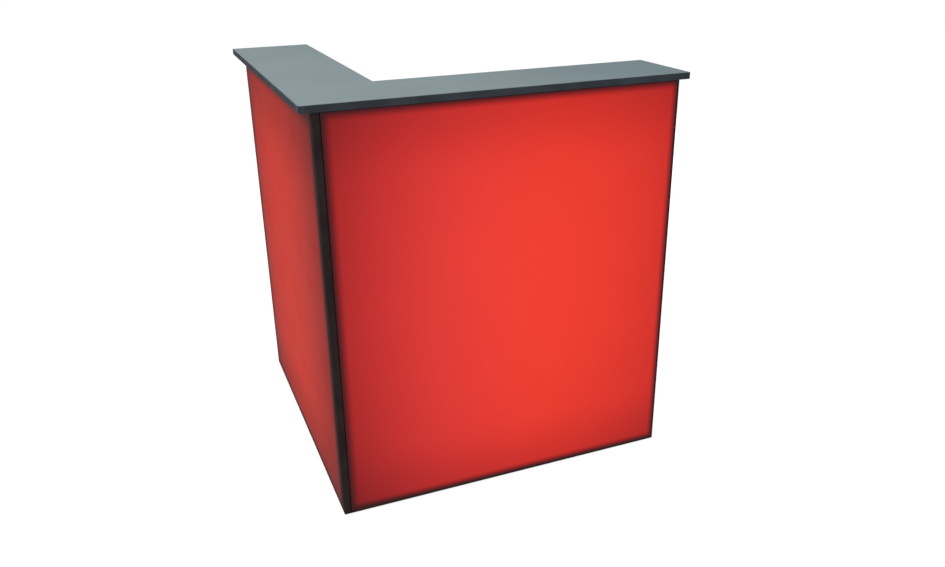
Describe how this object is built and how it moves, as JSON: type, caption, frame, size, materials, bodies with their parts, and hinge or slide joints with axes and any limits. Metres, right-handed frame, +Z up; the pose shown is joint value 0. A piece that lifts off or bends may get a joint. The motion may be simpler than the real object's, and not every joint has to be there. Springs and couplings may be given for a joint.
{
  "type": "illuminated bar counter",
  "caption": "Free-standing L-shaped bar counter with two evenly glowing red panels under one worktop, and a service door on the staff side.",
  "frame": {"origin": "on the floor, under the middle of the worktop's square outline", "axes": "+Z up; the front wing faces -Y and runs along X; the side wing faces -X and runs along Y; the outer corner is at -X, -Y and the staff stand at +X, +Y"},
  "size_m": [1.05, 1.05, 1.15],
  "materials": {
    "laminate": "blue-grey textured laminate on board",
    "edging": "dark grey plastic edging",
    "board": "black faced board, satin",
    "lit_panel": "opal acrylic lit red from behind, glossy",
    "aluminium": "extruded, clear anodised",
    "driver_case": "drawn case, plain",
    "led_strip": "white circuit strip with light-emitting chips",
    "white_plastic": "moulded",
    "black_plastic": "moulded",
    "lead_cover": "flexible lead cover",
    "blade": "nickel plated",
    "rocker": "red rocker",
    "steel": "zinc plated"
  },
  "bodies": {
    "counter": {"worktop": "laminate", "worktop_edging_front": "edging", "worktop_edging_right_end": "edging", "worktop_edging_inner_front": "edging", "worktop_edging_inner_side": "edging", "worktop_edging_far_end": "edging", "worktop_edging_side": "edging", "corner_post": "board", "inner_post": "board", "front_base_board": "board", "front_top_board": "board", "front_gable": "board", "front_rear_panel": "board", "stile": "board", "side_base_board": "board", "side_top_board": "board", "side_gable": "board", "side_rear_panel": "board", "front_lit_panel": "lit_panel", "side_lit_panel": "lit_panel", "glide_corner": "black_plastic", "glide_inner_corner": "black_plastic", "glide_front_end_outer": "black_plastic", "glide_front_end_inner": "black_plastic", "glide_side_end_outer": "black_plastic", "glide_side_end_inner": "black_plastic", "led_channel_front_1": "aluminium", "led_channel_front_2": "aluminium", "led_channel_front_3": "aluminium", "led_channel_side_1": "aluminium", "led_channel_side_2": "aluminium", "led_strip_front_1": "led_strip", "led_strip_front_2": "led_strip", "led_strip_front_3": "led_strip", "led_strip_side_1": "led_strip", "led_strip_side_2": "led_strip", "led_driver": "driver_case", "colour_controller": "white_plastic", "mains_lead": "lead_cover", "driver_lead": "lead_cover", "right_strip_lead": "lead_cover", "left_strip_lead": "lead_cover", "power_inlet": "black_plastic", "inlet_blade_line": "blade", "inlet_blade_neutral": "blade", "inlet_blade_earth": "blade", "lower_hinge_frame_leaf": "steel", "lower_hinge_pin": "steel", "upper_hinge_frame_leaf": "steel", "upper_hinge_pin": "steel"},
    "door": {"service_door": "board", "lower_hinge_door_leaf": "steel", "upper_hinge_door_leaf": "steel", "latch_housing": "steel"},
    "latch": {"latch_knob": "steel", "latch_cam": "steel"},
    "rocker": {"switch_rocker": "rocker"}
  },
  "joints": [
    {"name": "door_hinge", "type": "hinge", "parent": "counter", "child": "door", "pos_m": [0.489, -0.3042, 0.565], "axis": [0, 0, -1], "range_deg": [0, 170]},
    {"name": "latch_turn", "type": "hinge", "parent": "door", "child": "latch", "pos_m": [0.148, -0.308, 0.6], "axis": [0, 1, 0], "range_deg": [0, 90]},
    {"name": "switch_rock", "type": "hinge", "parent": "counter", "child": "rocker", "pos_m": [-0.222, -0.3055, 0.131], "axis": [-1, 0, 0], "range_deg": [0, 24]}
  ]
}
